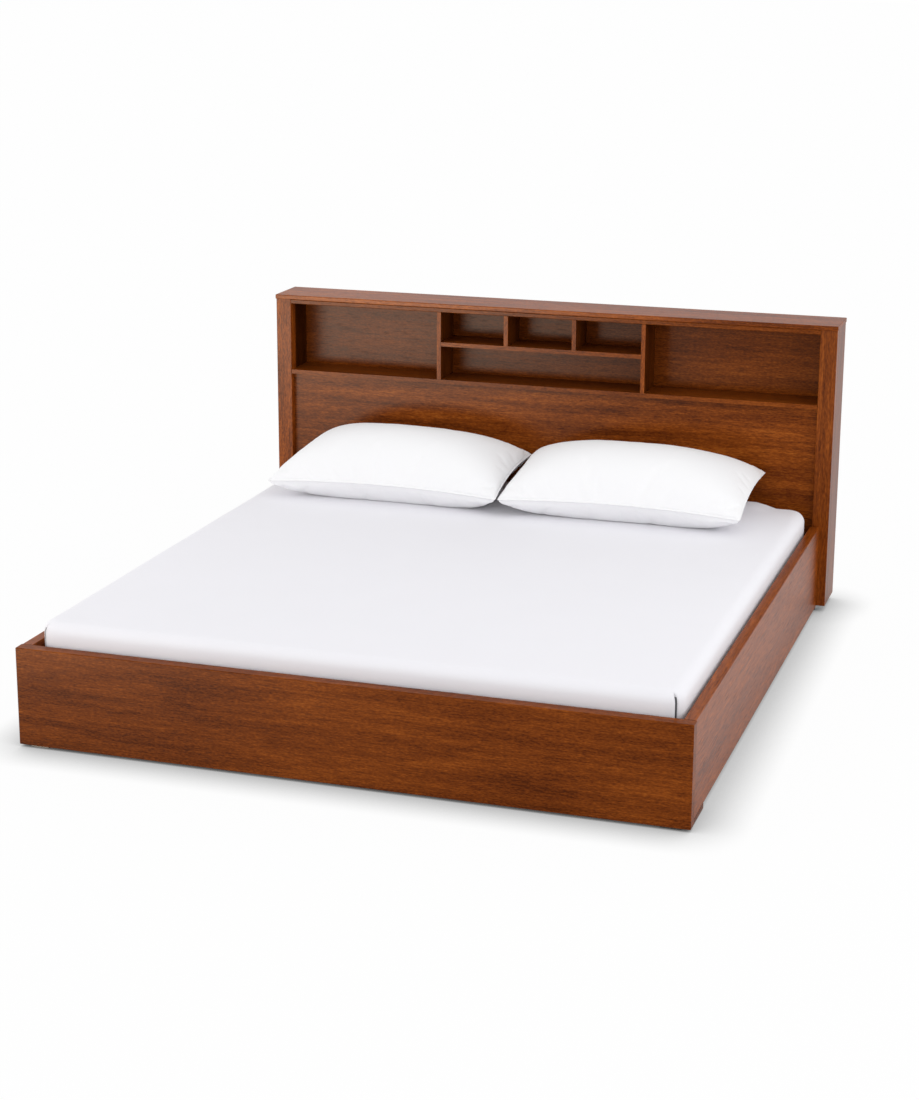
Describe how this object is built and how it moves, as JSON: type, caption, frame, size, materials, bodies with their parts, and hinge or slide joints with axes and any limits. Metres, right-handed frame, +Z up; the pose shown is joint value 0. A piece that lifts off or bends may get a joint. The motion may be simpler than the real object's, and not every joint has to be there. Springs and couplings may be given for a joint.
{
  "type": "bookcase headboard bed",
  "caption": "Platform-style bed in stained wood with a tall bookcase headboard of open bays and cubbies, with its mattress and pillows.",
  "frame": {"origin": "on the floor, under the middle of the whole bed's length and width", "axes": "+X to the right seen from the foot, +Y from the foot to the headboard, +Z up"},
  "size_m": [2.072, 2.28, 1.02],
  "materials": {
    "stained_wood": "satin reddish brown stain over visible grain",
    "back_panel_veneer": "satin reddish brown veneer",
    "plain_softwood": "planed and unfinished",
    "zinc_steel": "zinc plated, dull",
    "glide": "matte black",
    "mattress_cover": "plain white woven cotton, matte",
    "pillow_cover": "plain white woven cotton, matte"
  },
  "bodies": {
    "frame": {"bookcase_back_panel": "back_panel_veneer", "bookcase_shelf": "stained_wood", "centre_beam": "plain_softwood", "centre_leg_1": "plain_softwood", "centre_leg_2": "plain_softwood", "centre_leg_glides": "glide", "cross_rail": "stained_wood", "cubby_shelf": "stained_wood", "footboard": "stained_wood", "footboard_glides": "glide", "front_beam_hanger": "zinc_steel", "headboard_cap": "stained_wood", "headboard_feet": "glide", "headboard_panel": "stained_wood", "left_cubby_divider": "stained_wood", "left_end_panel": "stained_wood", "left_foot_glide": "glide", "left_front_foot": "stained_wood", "left_inner_panel": "stained_wood", "left_ledger": "plain_softwood", "left_post": "stained_wood", "left_rear_stile": "stained_wood", "left_side_rail": "stained_wood", "left_tall_divider": "stained_wood", "rail_hook_plates": "zinc_steel", "rail_slot_plates": "zinc_steel", "rear_beam_hanger": "zinc_steel", "right_cubby_divider": "stained_wood", "right_end_panel": "stained_wood", "right_foot_glide": "glide", "right_front_foot": "stained_wood", "right_inner_panel": "stained_wood", "right_ledger": "plain_softwood", "right_post": "stained_wood", "right_rear_stile": "stained_wood", "right_side_rail": "stained_wood", "right_tall_divider": "stained_wood", "slat_01": "plain_softwood", "slat_02": "plain_softwood", "slat_03": "plain_softwood", "slat_04": "plain_softwood", "slat_05": "plain_softwood", "slat_06": "plain_softwood", "slat_07": "plain_softwood", "slat_08": "plain_softwood", "slat_09": "plain_softwood", "slat_10": "plain_softwood", "slat_11": "plain_softwood", "slat_12": "plain_softwood", "slat_13": "plain_softwood", "slat_screws": "zinc_steel", "top_rail": "stained_wood"},
    "mattress_body": {"mattress": "mattress_cover"},
    "left_pillow_body": {"left_pillow": "pillow_cover"},
    "right_pillow_body": {"right_pillow": "pillow_cover"}
  },
  "joints": [
    {"name": "mattress_lift", "type": "slide", "parent": "frame", "child": "mattress_body", "axis": [0, 0, 1], "range_m": [0, 0.16]},
    {"name": "left_pillow_lift", "type": "slide", "parent": "mattress_body", "child": "left_pillow_body", "axis": [0, 0, 1], "range_m": [0, 0.15]},
    {"name": "right_pillow_lift", "type": "slide", "parent": "mattress_body", "child": "right_pillow_body", "axis": [0, 0, 1], "range_m": [0, 0.15]}
  ]
}
